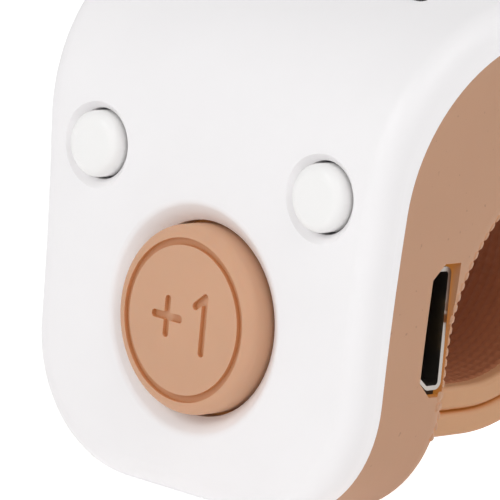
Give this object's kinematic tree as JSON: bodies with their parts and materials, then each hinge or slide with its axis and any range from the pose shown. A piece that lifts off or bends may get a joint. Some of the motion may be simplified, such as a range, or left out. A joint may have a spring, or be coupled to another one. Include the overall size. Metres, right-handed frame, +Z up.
{
  "type": "digital tally counter",
  "caption": "Finger-worn rechargeable tally counter: big count key, small keys beside it, display on its top, charging socket in its side and a pegged strap loop.",
  "frame": {"origin": "middle of the bounding box's underside; the head's flat bottom edge lies at Z = 0", "axes": "+Z up along the flat front face, -Y out of the front face and the keys, +X to the right as seen from the front, on the charging socket's side"},
  "size_m": [0.0322, 0.0292, 0.0359],
  "materials": {
    "white_plastic": "fine satin white ABS",
    "white_button": "fine satin white ABS",
    "tan_silicone": "soft matt tan silicone",
    "tan_strap": "soft matt tan silicone with a fine raised grid inside",
    "tan_button": "soft matt tan silicone",
    "smoked_window": "smoked clear plastic",
    "display": "dark display glass",
    "foam": "black closed-cell foam",
    "ribbon": "amber polyimide",
    "cell_foil": "dull foil pouch",
    "lead_insulation": "satin",
    "frame_plastic": "matt moulded",
    "board": "solder resist",
    "chip": "matt black",
    "socket_steel": "bright stamped steel",
    "screw_steel": "zinc plated",
    "stud_steel": "satin steel",
    "tongue_plastic": "matt black",
    "contact_gold": "gold flash",
    "switch_plastic": "matt black",
    "stem_plastic": "natural nylon",
    "dome_steel": "spring steel",
    "capacitor": "ceramic"
  },
  "bodies": {
    "housing": {"front_cover": "white_plastic", "silicone_body": "tan_silicone", "mid_frame": "frame_plastic", "display_lens": "smoked_window", "display_gasket": "foam", "display_module": "display", "display_ribbon": "ribbon", "battery_pad": "foam", "battery": "cell_foil", "battery_leads": "lead_insulation", "main_board": "board", "board_screws": "screw_steel", "controller_chip": "chip", "charger_chip": "chip", "clock_crystal": "screw_steel", "capacitors": "capacitor", "ribbon_connector": "stem_plastic", "usb_shell": "socket_steel", "usb_tongue": "tongue_plastic", "usb_contacts": "contact_gold", "upper_strap": "tan_strap", "lower_strap": "tan_strap", "strap_studs": "stud_steel", "count_switch_base": "switch_plastic", "count_switch_dome": "dome_steel", "reset_switch_base": "switch_plastic", "reset_switch_dome": "dome_steel", "light_switch_base": "switch_plastic", "light_switch_dome": "dome_steel"},
    "count_key": {"count_button": "tan_button", "count_switch_stem": "stem_plastic"},
    "reset_key": {"reset_button": "white_button", "reset_switch_stem": "stem_plastic"},
    "light_key": {"light_button": "white_button", "light_switch_stem": "stem_plastic"}
  },
  "joints": [
    {"name": "count_press", "type": "slide", "parent": "housing", "child": "count_key", "axis": [0, 1, 0], "range_m": [0, 0.0004], "stiffness_N_per_m": 2500, "deforming": ["count_switch_dome"]},
    {"name": "reset_press", "type": "slide", "parent": "housing", "child": "reset_key", "axis": [0, 1, 0], "range_m": [0, 0.0003], "stiffness_N_per_m": 3500, "deforming": ["reset_switch_dome"]},
    {"name": "light_press", "type": "slide", "parent": "housing", "child": "light_key", "axis": [0, 1, 0], "range_m": [0, 0.0003], "stiffness_N_per_m": 3500, "deforming": ["light_switch_dome"]}
  ]
}
